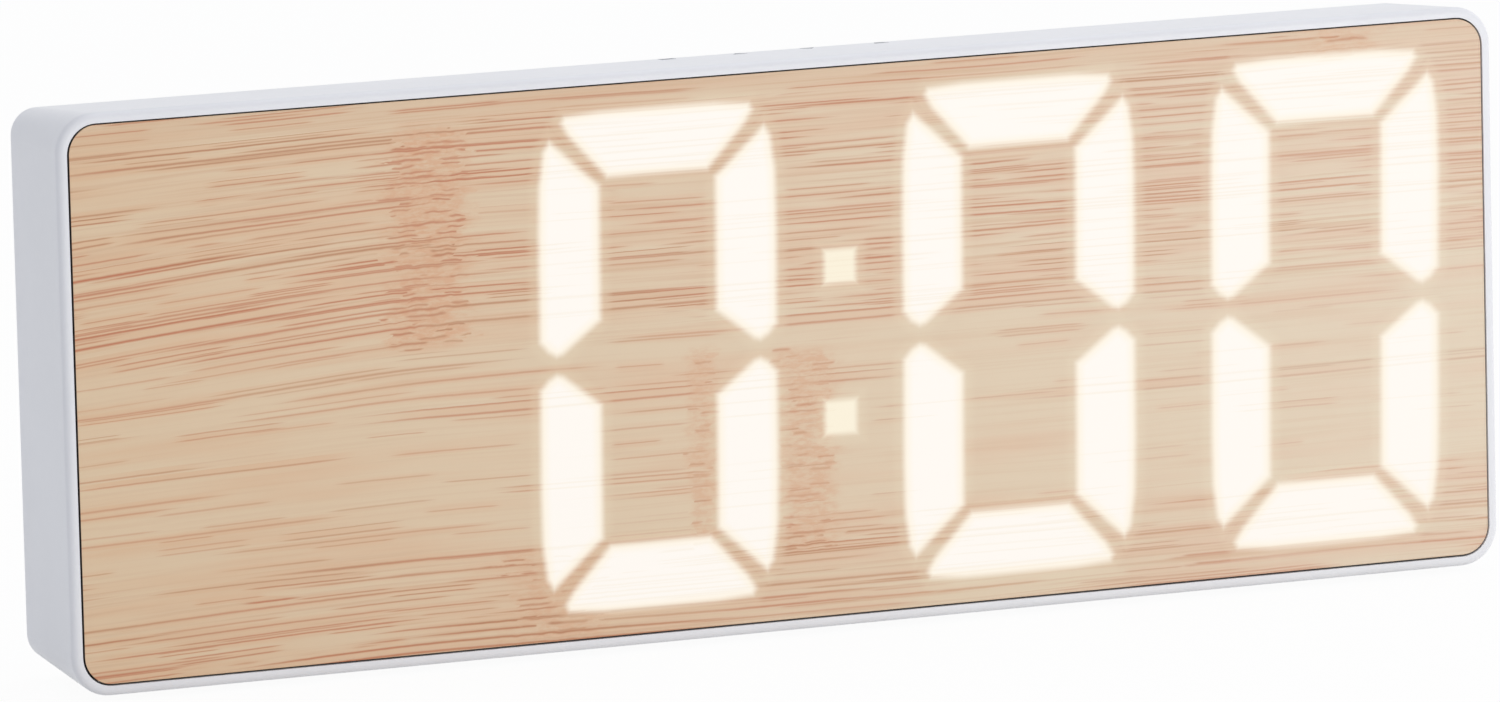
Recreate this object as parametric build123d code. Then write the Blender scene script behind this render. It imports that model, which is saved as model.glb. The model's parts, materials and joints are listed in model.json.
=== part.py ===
from build123d import *
import os
from math import atan, cos, degrees, radians, sin

# A digital desk clock: a shallow white case, a wood-look front panel that LED digits shine through, and
# keys, a charging socket and a coin cell behind the rear cover.
# X runs to the right of someone who faces the clock, Y to its back and Z up. Lengths are millimetres.
# Depths are measured backwards from the plane of the case's front rim.

os.makedirs("parts", exist_ok=True)

# Shared small values
overrun = 1.0            # how far a cut runs past the face it opens
weld = 0.5               # how far a rib or boss reaches into the wall it grows from
tiny = 0.01              # half the band in which edges are looked for

# Case
case_width = 160.0
case_height = 59.4
case_depth = 18.0
case_corner = 4.1
case_taper = 1.4         # how far each side draws in from the front to the back
front_round = 0.7
rear_round = 0.9
side_wall = 2.9          # from the front's outer edge in to the cavity
cavity_corner = 1.8

# Foot pads
foot_stand = 0.6         # gap under the case's front edge
foot_radius = 2.5
foot_recess = 0.5
foot_fit = 0.1
foot_round = 0.3
foot_side_inset = 10.0
foot_front_depth = 7.3
foot_rear_depth = 14.7

# Front panel
rim_width = 1.1
panel_gap = 0.17
panel_shift = 0.06       # the panel is glued in this far to the right of the middle
panel_corner = 2.95
panel_sink = 0.15        # the film's face lies this far behind the rim's plane
film_thick = 0.15
film_edge_round = 0.06
lens_thick = 1.85
tape_thick = 0.2
tape_inset = 0.15

# Display: the four digits share what the margins and gaps leave of the cavity
left_margin = 13.58
right_margin = 3.67
digit_margin = 1.35      # above and below the digits
digit_gap = 8.8
colon_gap = 14.15
stroke = 6.55
digit_lean_share = 0.022
colon_dot = 3.8
colon_rise = 7.8
mitre_gap_inner = 0.5
mitre_gap_outer = 1.0
tip_inset = 0.8          # the blunt tip's corner, in from the segment's outer edge
tip_drop = 0.45
waist_gap = 0.85
waist_inset = 1.85
waist_cut = 1.75

# Display stack
stack_fit = 0.2          # clearance of the reflector and the board in the cavity
board_thick = 1.6
board_corner = 1.5
led_length = 2.0
led_width = 1.25
led_height = 0.7
led_spread_share = 0.2   # of the digit's width, to each side of a segment's middle
pocket_depth = 4.5
pocket_wall = 2.0

# Rear cover
cover_thick = 1.6
cover_sink = 0.2
cover_gap = 0.12
cover_edge_round = 0.25
lip_height = 1.0
lip_width = 1.2
rib_width = 1.0
rib_shares = (-0.16, 0.255)      # of the board's width, from its middle
tongue_length = 8.0
tongue_thick = 0.8
tongue_reach = 0.8
tongue_share = 0.22              # of the cavity's height, above and below its middle
tongue_fit = 0.15

# Screws
boss_radius = 2.5
boss_reach = 2.6         # from the cavity's wall to the screw
boss_fit = 0.4
boss_shares = (-0.47, -0.213, 0.277)     # of the cavity's width, from its middle
screw_radius = 1.0
screw_length = 6.0
screw_point = 0.25       # radius of the blunt point
screw_head_radius = 1.8
screw_head_height = 0.9
screw_fit = 0.12
screw_sink = 0.05
pilot_extra = 0.6
cross_length = 2.2
cross_width = 0.45
cross_depth = 0.6
board_screw_length = 4.6
board_head_radius = 1.7
board_head_height = 1.0

# Keys
key_radius = 2.5
key_fit = 0.1
key_proud = 0.6          # beyond the plane of the case's back
key_round = 0.35
key_pitch = 8.0
key_share = 0.37         # of the board's height, above its middle
key_flange_radius = 3.2
key_flange_thick = 1.0
key_flange_gap = 0.1
key_stem_radius = 1.5
switch_size = 6.0
switch_height = 3.3
switch_plate_thick = 0.2
switch_corner = 0.4
plunger_radius = 1.7
plunger_fit = 0.1
plunger_well = 1.65
plunger_lift = 0.6       # free space under the plunger

# Battery door and coin cell
door_x_share = 0.375     # of the board's width
door_neck_margin = 0.3   # beyond the cell holder's wall
door_flange_overlap = 1.7
door_flange_thick = 0.6
door_fit = 0.1
door_sink = 0.1
door_ring_wall = 1.1
door_ring_depth = 1.0
door_play = 0.35         # from the coin cell to the door's ring
lug_reach = 1.1
lug_gap = 0.1
lug_thick = 0.9
lug_span_degrees = 24.0
lug_places_degrees = (0.0, 180.0)
notch_span_degrees = 30.0
unlock_degrees = 45.0
coin_slot_length = 13.0
coin_slot_width = 1.7
coin_slot_depth = 0.8
cell_radius = 10.0
cell_height = 3.2
cell_step_inset = 1.4
cell_step = 0.2
cell_bevel = 0.3
holder_floor = 1.0
holder_wall = 0.95
holder_fit = 0.25
spring_height = 0.7
spring_thick = 0.2
spring_outer_radius = 6.0
spring_inner_radius = 2.0
clip_span_degrees = 40.0
clip_play = 0.02

# Charging socket
socket_x_share = -0.40
socket_z_share = -0.33
socket_width = 8.94
socket_height = 3.26
socket_wall = 0.31
socket_sink = 0.2        # its mouth, below the cover's face
socket_fit = 0.18
tongue_board_width = 6.69
tongue_board_thick = 0.7
tongue_board_sink = 0.7
socket_base_height = 1.5

# Parts on the board: places are shares of the board's width and height, from its middle
chip_standoff = 0.1
chip_height = 2.3
chip_width = 7.5
lead_width = 0.42
lead_thick = 0.25
lead_pitch = 1.27
lead_reach = 1.4
lead_foot = 0.8
clock_chip_length = 13.2
clock_chip_lead_count = 10
clock_chip_shares = (0.035, 0.0)
driver_chip_length = 18.3
driver_chip_lead_count = 14
driver_chip_shares = (0.035, -0.27)
crystal_length = 11.0
crystal_width = 4.6
crystal_height = 3.6
crystal_rim = 0.4
crystal_shares = (0.035, 0.2)
capacitor_radius = 3.15
capacitor_height = 4.4
capacitor_base_size = 6.6
capacitor_base_height = 1.1
capacitor_base_cut = 1.3
capacitor_groove = 0.4
capacitor_shares = (-0.27, -0.33)
regulator_length = 6.5
regulator_width = 3.5
regulator_height = 1.7
regulator_pitch = 2.3
regulator_lead_width = 0.75
regulator_tab_width = 3.0
regulator_shares = (-0.40, -0.10)
buzzer_radius = 4.8
buzzer_height = 4.2
buzzer_hole_radius = 1.0
buzzer_hole_depth = 1.2
buzzer_round = 0.4
buzzer_shares = (-0.215, 0.02)
sensor_radius = 1.6
sensor_height = 3.2
sensor_round = 1.25
sensor_shares = (-0.44, 0.27)
resistor_length = 1.6
resistor_width = 0.8
resistor_height = 0.5
resistor_pitch = 2.4
resistor_row_count = 6
resistor_column_count = 2
resistor_shares = (0.205, 0.0)
ceramic_length = 2.0
ceramic_width = 1.25
ceramic_height = 0.9
ceramic_pitch = 3.0
ceramic_row_count = 5
ceramic_shares = (-0.105, 0.0)

# Vents
vent_radius = 0.7
vent_ring_radius = 2.6
vent_ring_count = 6
slot_width = 1.1
slot_length = 7.0
slot_pitch = 2.4
slot_count = 4

# Places and sizes that follow from the values above
mid_z = foot_stand + case_height / 2
overall_depth = case_depth + key_proud
front_y = -overall_depth / 2
cavity_width = case_width - 2 * side_wall
cavity_height = case_height - 2 * side_wall
recess_width = case_width - 2 * rim_width
recess_height = case_height - 2 * rim_width
panel_width = recess_width - 2 * panel_gap
panel_height = recess_height - 2 * panel_gap
film_back = panel_sink + film_thick
lens_back = film_back + lens_thick
ledge = lens_back + tape_thick
cover_face = case_depth - cover_sink
cover_inner = cover_face - cover_thick
holder_height = holder_floor + spring_height + cell_height
board_back = cover_inner - holder_height - door_play - door_ring_depth
reflector_back = board_back - board_thick
board_width = cavity_width - 2 * stack_fit
board_height = cavity_height - 2 * stack_fit
cover_width = cavity_width - 2 * cover_gap
cover_height = cavity_height - 2 * cover_gap
key_z = mid_z + key_share * board_height
door_x = door_x_share * board_width
door_z = mid_z
holder_radius = cell_radius + holder_fit + holder_wall
door_neck_radius = holder_radius + door_neck_margin
door_flange_radius = door_neck_radius + door_flange_overlap
door_well_radius = door_flange_radius + door_fit
door_hole_radius = door_neck_radius + door_fit
flange_depth = cover_face - door_sink - door_flange_thick
cell_front = board_back + holder_floor + spring_height
socket_x = socket_x_share * board_width
socket_z = mid_z + socket_z_share * board_height
socket_mouth = cover_face - socket_sink
digit_width = (cavity_width - left_margin - right_margin - colon_gap - 2 * digit_gap) / 4
digit_height = cavity_height - 2 * digit_margin
digit_pitch = digit_width + digit_gap
colon_x = left_margin + digit_pitch + digit_width + (colon_gap - cavity_width) / 2
before_colon = colon_x - (digit_width + colon_gap) / 2
after_colon = colon_x + (digit_width + colon_gap) / 2
digit_xs = {
    "hour_tens": before_colon - digit_pitch,
    "hour_units": before_colon,
    "minute_tens": after_colon,
    "minute_units": after_colon + digit_pitch,
}
counter_rise = (digit_height - stroke) / 4       # from the middle bar to the middle of a digit's counter


def slab(shape, near, far):
    """A plate between two depths, from a flat shape drawn with X to the right and Y up."""
    plane = Plane(origin=(0, front_y + far, 0), x_dir=(1, 0, 0), z_dir=(0, -1, 0))
    return extrude(plane * shape, far - near)


def turned(profile, x, z):
    """A solid turned about the depth axis through (x, z), from corners given as (radius, depth)."""
    plane = Plane(origin=(x, front_y, z), x_dir=(1, 0, 0), z_dir=(0, 0, 1))
    face = make_face(Polyline(*profile, close=True))
    return revolve(plane * face, Axis((x, front_y, z), (0, 1, 0)))


def edges_at(solid, depth):
    """The edges that lie in the plane at this depth."""
    y = front_y + depth
    return solid.edges().filter_by_position(Axis.Y, y - tiny, y + tiny)


def block(width, height, corner, inset=0):
    """A rounded rectangle about the middle of the clock, drawn in by inset on every side."""
    return Pos(0, mid_z) * RectangleRounded(width - 2 * inset, height - 2 * inset, corner)


def at(x, z, shape):
    """A flat shape moved to (x, z)."""
    return Pos(x, z) * shape


def ring_sector(x, z, inner, outer, middle, span):
    """The part of a flat ring that spans an angle about a middle direction, both in degrees."""
    reach = 2 * outer
    half = radians(span / 2)
    turn = radians(middle)
    left = (x + reach * cos(turn - half), z + reach * sin(turn - half))
    right = (x + reach * cos(turn + half), z + reach * sin(turn + half))
    wedge = make_face(Polyline((x, z), left, right, close=True))
    return (at(x, z, Circle(outer)) - at(x, z, Circle(inner))) & wedge


def board_place(shares):
    """A place on the board from its shares of the board's width and height."""
    return shares[0] * board_width, mid_z + shares[1] * board_height


def underside(depth):
    """Height of the case's underside at this depth."""
    return foot_stand + case_taper * depth / case_depth


def foot_places():
    side = case_width / 2 - foot_side_inset
    return [(x, depth) for x in (-side, side) for depth in (foot_front_depth, foot_rear_depth)]


def screw_places():
    """The six cover screws: x, z and the direction of the wall that each boss grows from."""
    rise = cavity_height / 2 - boss_reach
    return [(share * cavity_width, mid_z + side * rise, side) for share in boss_shares for side in (-1, 1)]


def board_screw_places():
    xs = (digit_xs["hour_tens"], digit_xs["minute_tens"])
    return [(x, mid_z + side * counter_rise) for x in xs for side in (-1, 1)]


def key_places():
    return [(colon_x + step * key_pitch, key_z) for step in (-1.5, -0.5, 0.5, 1.5)]


# Display outlines
def segment_outlines():
    """Corners of the seven segments about the digit's middle, upright."""
    half_width = digit_width / 2
    half_height = digit_height / 2
    inner_x = half_width - stroke
    inner_z = half_height - stroke
    tip_x = half_width - tip_inset
    tip_z = half_height - tip_inset - mitre_gap_outer
    flat_tip_x = half_width - tip_inset - mitre_gap_outer
    flat_tip_z = half_height - tip_inset
    upright = [
        (half_width, tip_z - tip_drop),
        (tip_x, tip_z),
        (inner_x, inner_z - mitre_gap_inner),
        (inner_x, stroke / 2 + waist_gap),
        (half_width - waist_inset, waist_gap),
        (half_width, waist_gap + waist_cut),
    ]
    top = [
        (flat_tip_x - tip_drop, half_height),
        (flat_tip_x, flat_tip_z),
        (inner_x - mitre_gap_inner, inner_z),
        (mitre_gap_inner - inner_x, inner_z),
        (-flat_tip_x, flat_tip_z),
        (tip_drop - flat_tip_x, half_height),
    ]
    middle = [
        (half_width - waist_inset, 0),
        (inner_x, stroke / 2),
        (-inner_x, stroke / 2),
        (waist_inset - half_width, 0),
        (-inner_x, -stroke / 2),
        (inner_x, -stroke / 2),
    ]
    uprights = [[(sx * x, sz * z) for x, z in upright] for sx in (-1, 1) for sz in (-1, 1)]
    flats = [[(x, sz * z) for x, z in top] for sz in (-1, 1)]
    return uprights + flats + [middle]


def lean(x, z):
    """A point of a digit, about the digit's middle, moved sideways by the digit's slant."""
    return x + digit_lean_share * z, z


def window_shapes():
    """The light windows of the four digits and the colon as flat shapes."""
    shapes = []
    for x in digit_xs.values():
        for outline in segment_outlines():
            corners = [lean(*corner) for corner in outline]
            shapes.append(at(x, mid_z, make_face(Polyline(*corners, close=True))))
    for rise in (-colon_rise, colon_rise):
        x, z = lean(0, rise)
        shapes.append(at(colon_x + x, mid_z + z, Rectangle(colon_dot, colon_dot)))
    return shapes


def led_places():
    """Middles of the LEDs about a digit's middle, with whether each lies in an upright segment."""
    side = (digit_width - stroke) / 2
    top = (digit_height - stroke) / 2
    step = led_spread_share * digit_width
    flat = [(s * step, z, False) for z in (-top, 0, top) for s in (-1, 1)]
    halves = [(x, z) for x in (-side, side) for z in (-top / 2, top / 2)]
    return flat + [(x, z + s * step, True) for x, z in halves for s in (-1, 1)]


# Case and panel
def make_case_frame():
    front = Plane(origin=(0, front_y, mid_z), x_dir=(-1, 0, 0), z_dir=(0, 1, 0))
    draft = degrees(atan(case_taper / case_depth))
    body = extrude(front * RectangleRounded(case_width, case_height, case_corner), case_depth, taper=draft)
    body = fillet(edges_at(body, 0), front_round)
    body = fillet(edges_at(body, case_depth), rear_round)
    body -= slab(block(recess_width, recess_height, panel_corner + panel_gap), -overrun, ledge)
    body -= slab(block(cavity_width, cavity_height, cavity_corner), 0, case_depth + overrun)
    for x, z, side in screw_places():
        root = Pos(x, z + side * (boss_reach + weld) / 2) * Rectangle(2 * boss_radius, boss_reach + weld)
        body += slab(at(x, z, Circle(boss_radius)) + root, board_back, cover_inner)
    for x, z, side in screw_places():
        bottom = cover_face - screw_sink - screw_length - pilot_extra
        body -= slab(at(x, z, Circle(screw_radius)), bottom, cover_inner + overrun)
    for x, z in tongue_places():
        width = tongue_reach + tongue_fit + weld
        slot = at(cavity_width / 2 - weld + width / 2, z, Rectangle(width, tongue_length + 2 * tongue_fit))
        body -= slab(slot, cover_inner - tongue_fit, cover_inner + tongue_thick + tongue_fit)
    for x, depth in foot_places():
        top = underside(depth) + foot_recess
        place = Pos(x, front_y + depth, top - foot_recess - overrun)
        align = (Align.CENTER, Align.CENTER, Align.MIN)
        body -= place * Cylinder(foot_radius + foot_fit, foot_recess + overrun, align=align)
    return body


def tongue_places():
    return [(cover_width / 2, mid_z + side * tongue_share * cavity_height) for side in (-1, 1)]


def panel_outline():
    return at(panel_shift, 0, block(panel_width, panel_height, panel_corner))


def make_wood_film():
    film = slab(panel_outline(), panel_sink, film_back)
    return fillet(edges_at(film, panel_sink), film_edge_round)


def make_front_lens():
    return slab(panel_outline(), film_back, lens_back)


def make_panel_tape():
    outer = block(panel_width, panel_height, panel_corner, tape_inset)
    inner = block(cavity_width, cavity_height, cavity_corner)
    return slab(outer - inner, lens_back, ledge)


def make_diffuser_sheet():
    return slab(block(board_width, board_height, board_corner), lens_back, ledge)


# Display stack
def make_reflector_block():
    solid = slab(block(board_width, board_height, board_corner), ledge, reflector_back)
    for shape in window_shapes():
        solid -= slab(shape, ledge - overrun, reflector_back + overrun)
    left = -board_width / 2 + pocket_wall
    right = digit_xs["hour_tens"] - digit_width / 2 - digit_lean_share * digit_height / 2 - pocket_wall
    pocket = at((left + right) / 2, mid_z, Rectangle(right - left, board_height - 2 * pocket_wall))
    solid -= slab(pocket, reflector_back - pocket_depth, reflector_back + overrun)
    for x, z in board_screw_places():
        tip = board_back - board_screw_length
        solid -= slab(at(x, z, Circle(screw_radius)), tip, reflector_back + overrun)
    return solid


def make_display_board():
    board = slab(block(board_width, board_height, board_corner), reflector_back, board_back)
    for x, z in board_screw_places():
        board -= slab(at(x, z, Circle(screw_radius + screw_fit)), 0, case_depth)
    return board


def make_segment_leds():
    leds = []
    front = reflector_back - led_height
    for digit_x in digit_xs.values():
        for x, z, upright in led_places():
            x, z = lean(x, z)
            shape = Rectangle(led_width, led_length) if upright else Rectangle(led_length, led_width)
            leds.append(slab(at(digit_x + x, mid_z + z, shape), front, reflector_back))
    for rise in (-colon_rise, colon_rise):
        x, z = lean(0, rise)
        shape = at(colon_x + x, mid_z + z, Rectangle(led_length, led_width))
        leds.append(slab(shape, front, reflector_back))
    return leds


def make_board_screws():
    screws = []
    for x, z in board_screw_places():
        head = board_back + board_head_height
        tip = board_back - board_screw_length
        profile = [
            (0, head),
            (board_head_radius, head),
            (board_head_radius, board_back),
            (screw_radius, board_back),
            (screw_radius, tip + screw_radius - screw_point),
            (screw_point, tip),
            (0, tip),
        ]
        screws.append(turned(profile, x, z) - cross_recess(x, z, head))
    return screws


def cross_recess(x, z, face):
    """The cross in a screw head whose face lies at this depth."""
    cross = Rectangle(cross_length, cross_width) + Rectangle(cross_width, cross_length)
    return slab(at(x, z, cross), face - cross_depth, face + overrun)


# Parts on the board
def leaded_chip(shares, length, leads):
    """A chip body and its two rows of bent leads."""
    x, z = board_place(shares)
    bottom = board_back + chip_standoff
    body = slab(at(x, z, Rectangle(length, chip_width)), bottom, bottom + chip_height)
    middle = bottom + chip_height / 2
    rows = []
    for side in (-1, 1):
        for i in range(leads):
            lead_x = x + (i - (leads - 1) / 2) * lead_pitch
            edge = z + side * chip_width / 2
            bend = edge + side * (lead_reach - lead_foot)
            shoulder = at(lead_x, (edge + bend) / 2, Rectangle(lead_width, abs(bend - edge)))
            leg = at(lead_x, bend + side * lead_thick / 2, Rectangle(lead_width, lead_thick))
            foot = at(lead_x, bend + side * lead_foot / 2, Rectangle(lead_width, lead_foot))
            lead = slab(shoulder, middle, middle + lead_thick)
            lead += slab(leg, board_back, middle + lead_thick)
            lead += slab(foot, board_back, board_back + lead_thick)
            rows.append(lead)
    return body, rows


def make_timing_crystal():
    x, z = board_place(crystal_shares)
    rim = slab(at(x, z, SlotOverall(crystal_length, crystal_width)), board_back, board_back + crystal_rim)
    can = SlotOverall(crystal_length - 2 * crystal_rim, crystal_width - 2 * crystal_rim)
    return rim + slab(at(x, z, can), board_back, board_back + crystal_height)


def make_capacitor_base():
    x, z = board_place(capacitor_shares)
    half = capacitor_base_size / 2
    cut = half - capacitor_base_cut
    corners = [(-half, -half), (half, -half), (half, cut), (cut, half), (-cut, half), (-half, cut)]
    shape = make_face(Polyline(*corners, close=True))
    return slab(at(x, z, shape), board_back, board_back + capacitor_base_height)


def make_supply_capacitor():
    x, z = board_place(capacitor_shares)
    bottom = board_back + capacitor_base_height
    top = bottom + capacitor_height
    groove = capacitor_groove
    profile = [
        (0, bottom),
        (capacitor_radius, bottom),
        (capacitor_radius, bottom + groove),
        (capacitor_radius - groove, bottom + 2 * groove),
        (capacitor_radius, bottom + 3 * groove),
        (capacitor_radius, top - groove),
        (capacitor_radius - groove, top),
        (0, top),
    ]
    return turned(profile, x, z)


def make_supply_regulator():
    x, z = board_place(regulator_shares)
    bottom = board_back + chip_standoff
    return slab(at(x, z, Rectangle(regulator_length, regulator_width)), bottom, bottom + regulator_height)


def make_regulator_leads():
    x, z = board_place(regulator_shares)
    edge = regulator_width / 2
    foot_z = edge + lead_reach / 2
    leads = []
    for i in (-1, 0, 1):
        shape = at(x + i * regulator_pitch, z - foot_z, Rectangle(regulator_lead_width, lead_reach))
        leads.append(slab(shape, board_back, board_back + lead_thick))
    tab = at(x, z + foot_z, Rectangle(regulator_tab_width, lead_reach))
    leads.append(slab(tab, board_back, board_back + lead_thick))
    return leads


def make_buzzer():
    x, z = board_place(buzzer_shares)
    top = board_back + buzzer_height
    body = slab(at(x, z, Circle(buzzer_radius)), board_back, top)
    body = fillet(edges_at(body, top), buzzer_round)
    return body - slab(at(x, z, Circle(buzzer_hole_radius)), top - buzzer_hole_depth, top + overrun)


def make_temperature_sensor():
    x, z = board_place(sensor_shares)
    body = slab(at(x, z, Circle(sensor_radius)), board_back, board_back + sensor_height)
    return fillet(edges_at(body, board_back + sensor_height), sensor_round)


def make_chip_resistors():
    x, z = board_place(resistor_shares)
    chips = []
    for column in range(resistor_column_count):
        for row in range(resistor_row_count):
            chip_x = x + (column - (resistor_column_count - 1) / 2) * resistor_pitch
            chip_z = z + (row - (resistor_row_count - 1) / 2) * resistor_pitch
            shape = at(chip_x, chip_z, Rectangle(resistor_length, resistor_width))
            chips.append(slab(shape, board_back, board_back + resistor_height))
    return chips


def make_chip_capacitors():
    x, z = board_place(ceramic_shares)
    chips = []
    for row in range(ceramic_row_count):
        chip_z = z + (row - (ceramic_row_count - 1) / 2) * ceramic_pitch
        shape = at(x, chip_z, Rectangle(ceramic_length, ceramic_width))
        chips.append(slab(shape, board_back, board_back + ceramic_height))
    return chips


# Charging socket
def socket_outline(inset):
    """The socket's outline with its ends round, drawn in by inset."""
    return at(socket_x, socket_z, SlotOverall(socket_width - 2 * inset, socket_height - 2 * inset))


def make_socket_shell():
    return slab(socket_outline(0) - socket_outline(socket_wall), board_back, socket_mouth)


def make_socket_tongue():
    base = slab(socket_outline(socket_wall), board_back, board_back + socket_base_height)
    blade = at(socket_x, socket_z, Rectangle(tongue_board_width, tongue_board_thick))
    return base + slab(blade, board_back, socket_mouth - tongue_board_sink)


# Coin cell and its door
def make_battery_holder():
    top = board_back + holder_height
    floor = board_back + holder_floor
    holder = slab(at(door_x, door_z, Circle(holder_radius)), board_back, top)
    holder -= slab(at(door_x, door_z, Circle(cell_radius + holder_fit)), floor, top + overrun)
    return holder - slab(clip_shape(clip_play), 0, case_depth)


def clip_shape(play):
    """The plus contact's curved strip, with some play all round, seen from the front."""
    inner = cell_radius + clip_play - play
    outer = cell_radius + holder_fit - clip_play + play
    spread = clip_span_degrees * (1 + play / cell_radius)
    return ring_sector(door_x, door_z, inner, outer, 0, spread)


def make_plus_clip():
    return slab(clip_shape(0), board_back, board_back + holder_height)


def make_minus_spring():
    floor = board_back + holder_floor
    shoulder = (spring_inner_radius + spring_outer_radius) / 2
    profile = [
        (spring_inner_radius, cell_front - spring_thick),
        (spring_inner_radius, cell_front),
        (shoulder - spring_thick, cell_front),
        (spring_outer_radius, floor + spring_thick),
        (spring_outer_radius, floor),
        (spring_outer_radius - spring_thick, floor),
        (shoulder - 2 * spring_thick, cell_front - spring_thick),
    ]
    return turned(profile, door_x, door_z)


def make_coin_cell():
    back = cell_front + cell_height
    profile = [
        (0, cell_front),
        (cell_radius - cell_step_inset, cell_front),
        (cell_radius - cell_step_inset, cell_front + cell_step),
        (cell_radius - cell_bevel, cell_front + cell_step),
        (cell_radius, cell_front + cell_step + cell_bevel),
        (cell_radius, back - cell_bevel),
        (cell_radius - cell_bevel, back),
        (0, back),
    ]
    return turned(profile, door_x, door_z)


def make_battery_door():
    face = cover_face - door_sink
    ring_bottom = cover_inner - door_ring_depth
    door = slab(at(door_x, door_z, Circle(door_flange_radius)), flange_depth, face)
    door = fillet(edges_at(door, face), cover_edge_round)
    door += slab(at(door_x, door_z, Circle(door_neck_radius)), cover_inner, flange_depth)
    ring_inner = door_neck_radius - door_ring_wall
    ring = at(door_x, door_z, Circle(door_neck_radius)) - at(door_x, door_z, Circle(ring_inner))
    door += slab(ring, ring_bottom, cover_inner)
    lug_back = cover_inner - lug_gap
    for middle in lug_places_degrees:
        reach = door_neck_radius + lug_reach
        lug = ring_sector(door_x, door_z, ring_inner, reach, middle, lug_span_degrees)
        door += slab(lug, lug_back - lug_thick, lug_back)
    groove = at(door_x, door_z, SlotOverall(coin_slot_length, coin_slot_width))
    return door - slab(groove, face - coin_slot_depth, face + overrun)


# Keys
def make_switch_bases():
    bases = []
    top = board_back + switch_height
    for x, z in key_places():
        base = slab(at(x, z, RectangleRounded(switch_size, switch_size, switch_corner)), board_back, top)
        base -= slab(at(x, z, Circle(plunger_radius + plunger_fit)), top - plunger_well, top + overrun)
        bases.append(base)
    return bases


def make_switch_plates():
    plates = []
    bottom = board_back + switch_height
    for x, z in key_places():
        outline = RectangleRounded(switch_size, switch_size, switch_corner)
        ring = at(x, z, outline) - at(x, z, Circle(plunger_radius + plunger_fit))
        plates.append(slab(ring, bottom, bottom + switch_plate_thick))
    return plates


def flange_back():
    return cover_inner - key_flange_gap


def plunger_top():
    """Depth where the plunger meets the key's stem, midway from the switch to the key's flange."""
    return (board_back + switch_height + switch_plate_thick + flange_back() - key_flange_thick) / 2


def make_key(x, z):
    face = case_depth + key_proud
    flange_front = flange_back() - key_flange_thick
    key = slab(at(x, z, Circle(key_radius)), flange_back(), face)
    key = fillet(edges_at(key, face), key_round)
    key += slab(at(x, z, Circle(key_flange_radius)), flange_front, flange_back())
    return key + slab(at(x, z, Circle(key_stem_radius)), plunger_top(), flange_front)


def make_plunger(x, z):
    bottom = board_back + switch_height - plunger_well + plunger_lift
    return slab(at(x, z, Circle(plunger_radius)), bottom, plunger_top())


# Rear cover
def make_rear_cover():
    plate = slab(block(cover_width, cover_height, cavity_corner), cover_inner, cover_face)
    plate = fillet(edges_at(plate, cover_face), cover_edge_round)
    plate += make_cover_lip()
    for x, z in tongue_places():
        width = tongue_reach + cover_gap + weld
        tongue = at(x - weld + width / 2, z, Rectangle(width, tongue_length))
        plate += slab(tongue, cover_inner, cover_inner + tongue_thick)
    for x, z, side in screw_places():
        plate -= screw_hole(x, z)
    for x, z in key_places():
        plate -= slab(at(x, z, Circle(key_radius + key_fit)), 0, case_depth + overrun)
    plate -= door_opening()
    plate -= slab(socket_outline(-socket_fit), 0, case_depth + overrun)
    for shape in vent_shapes():
        plate -= slab(shape, 0, case_depth + overrun)
    return plate


def make_cover_lip():
    """The ribs and the rim on the cover's inner face, cut clear of the screw bosses."""
    outer = block(cover_width, cover_height, cavity_corner, cover_edge_round)
    inner = block(cover_width, cover_height, cavity_corner, cover_edge_round + lip_width)
    lip = slab(outer - inner, cover_inner - lip_height, cover_inner + cover_sink)
    for share in rib_shares:
        rib = at(share * board_width, mid_z, Rectangle(rib_width, cover_height - 2 * lip_width))
        lip += slab(rib, cover_inner - lip_height, cover_inner + cover_sink)
    for x, z, side in screw_places():
        width = 2 * (boss_radius + boss_fit)
        reach = 2 * (boss_reach + boss_fit)
        gap = at(x, z + side * boss_reach / 2, Rectangle(width, reach + boss_radius))
        lip -= slab(gap, 0, cover_inner)
    return lip


def screw_hole(x, z):
    """A countersunk hole through the cover."""
    head = screw_head_radius + screw_fit
    shank = screw_radius + screw_fit
    neck = cover_face - screw_sink - screw_head_height
    profile = [
        (0, cover_face + overrun),
        (head, cover_face + overrun),
        (head, cover_face - screw_sink),
        (shank, neck),
        (shank, cover_inner - overrun),
        (0, cover_inner - overrun),
    ]
    return turned(profile, x, z)


def door_opening():
    """The door's well and hole, with the two notches that let its lugs through when it is unlocked."""
    well = slab(at(door_x, door_z, Circle(door_well_radius)), flange_depth - door_sink, case_depth + overrun)
    hole = slab(at(door_x, door_z, Circle(door_hole_radius)), 0, case_depth + overrun)
    reach = door_neck_radius + lug_reach + door_fit
    for middle in [place - unlock_degrees for place in lug_places_degrees]:
        notch = ring_sector(door_x, door_z, door_neck_radius, reach, middle, notch_span_degrees)
        hole += slab(notch, 0, case_depth)
    return well + hole


def vent_shapes():
    """The round holes over the buzzer and the slots over the temperature sensor."""
    x, z = board_place(buzzer_shares)
    shapes = [at(x, z, Circle(vent_radius))]
    for i in range(vent_ring_count):
        turn = radians(360 * i / vent_ring_count)
        place = (x + vent_ring_radius * cos(turn), z + vent_ring_radius * sin(turn))
        shapes.append(at(*place, Circle(vent_radius)))
    x, z = board_place(sensor_shares)
    for i in range(slot_count):
        slot_x = x + (i - (slot_count - 1) / 2) * slot_pitch
        shapes.append(at(slot_x, z, SlotOverall(slot_length, slot_width, rotation=90)))
    return shapes


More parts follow.
